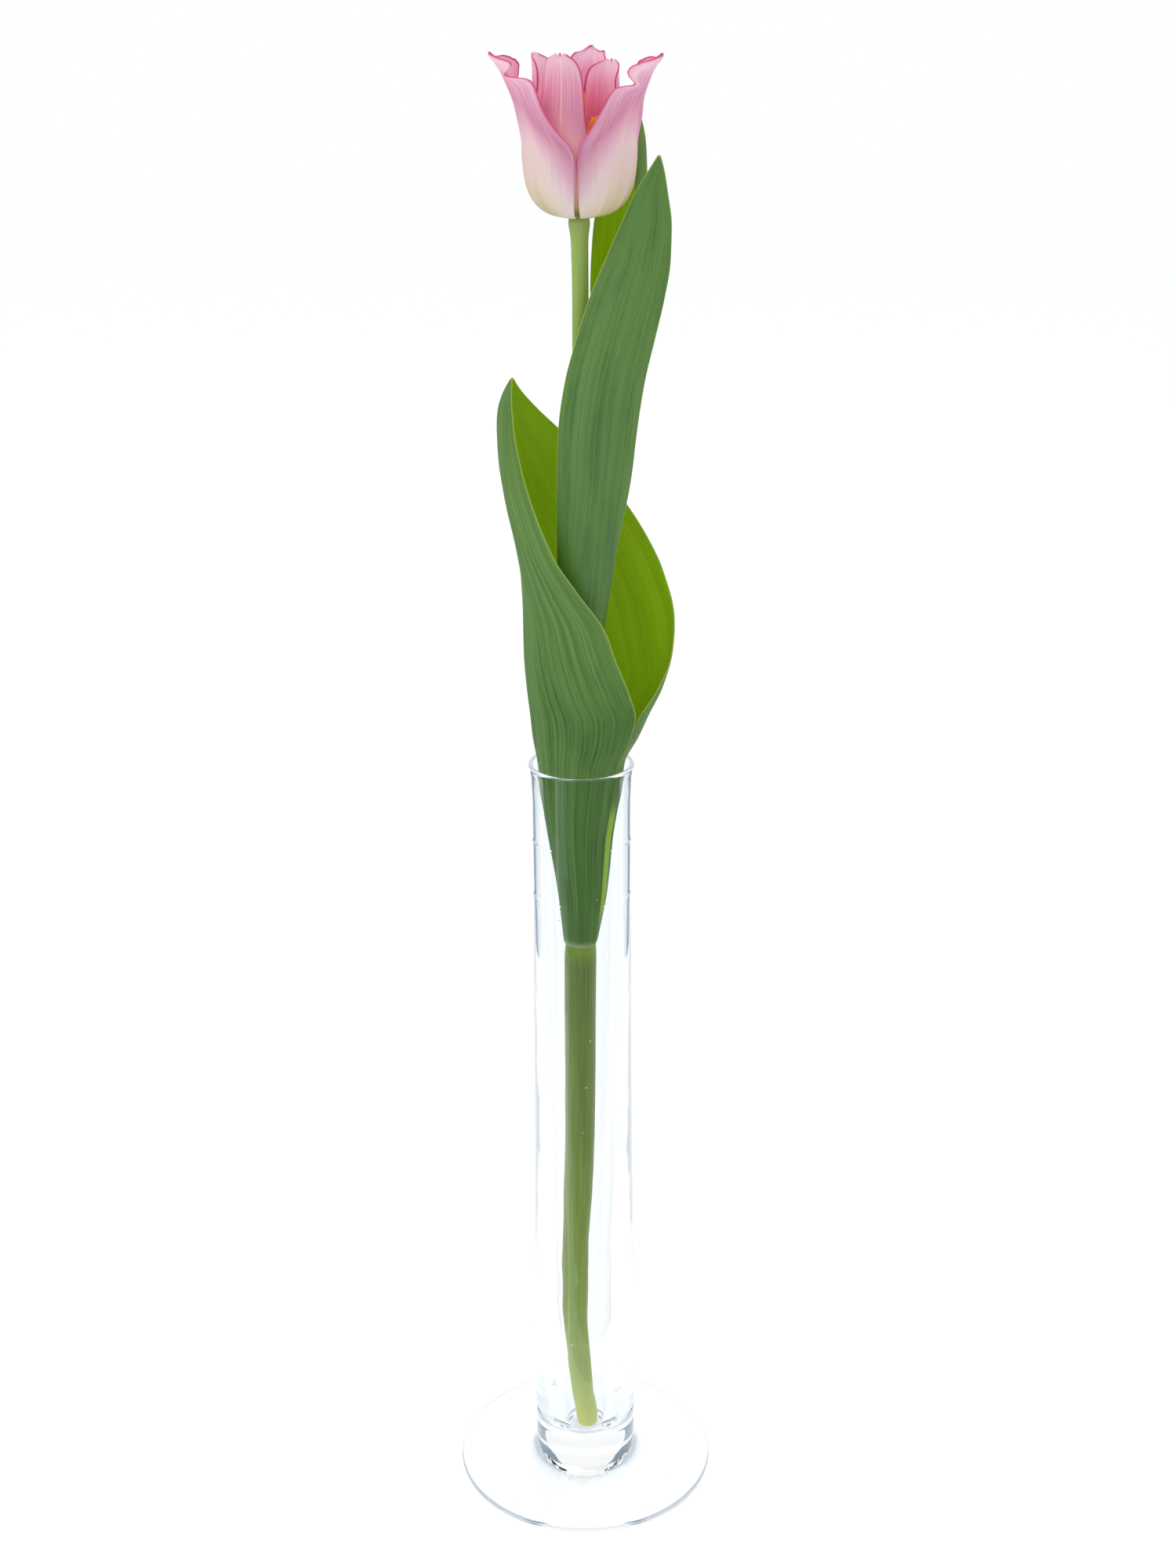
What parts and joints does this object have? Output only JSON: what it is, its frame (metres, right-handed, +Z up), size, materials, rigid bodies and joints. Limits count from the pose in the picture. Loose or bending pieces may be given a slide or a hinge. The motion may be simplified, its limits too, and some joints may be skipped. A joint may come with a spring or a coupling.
{
  "type": "crown tulip in vase",
  "caption": "Cut crown tulip with pinched, flared petal tips and broad wrapped leaves, standing in a tall slim clear glass vase with a heavy base and a wide thin disc foot.",
  "frame": {"origin": "centre of the disc foot's flat underside, on the vase's axis", "axes": "+Z up along the vase, +X to the right of the flower's front, -Y to the front, where two outer petals meet"},
  "size_m": [0.117, 0.117, 0.6324],
  "materials": {
    "clear_glass": "clear blown soda-lime glass, fire-polished rim, faint blue-grey edges",
    "stem_skin": "waxy living stem, yellow-green above and olive below",
    "leaf_blade": "waxy grey-green blade with parallel veins, brighter green inside",
    "petal": "silky translucent petal, cream base, lilac-pink above, deep pink margin",
    "pistil_flesh": "pale green waxy flesh",
    "anther": "powdery golden yellow"
  },
  "bodies": {
    "root": {"vase": "clear_glass", "stem": "stem_skin", "leaf_lower": "leaf_blade", "leaf_middle": "leaf_blade", "leaf_upper": "leaf_blade", "tepal_outer_1": "petal", "tepal_outer_2": "petal", "tepal_outer_3": "petal", "tepal_inner_1": "petal", "tepal_inner_2": "petal", "tepal_inner_3": "petal", "pistil": "pistil_flesh", "stamens": "anther"}
  },
  "joints": []
}
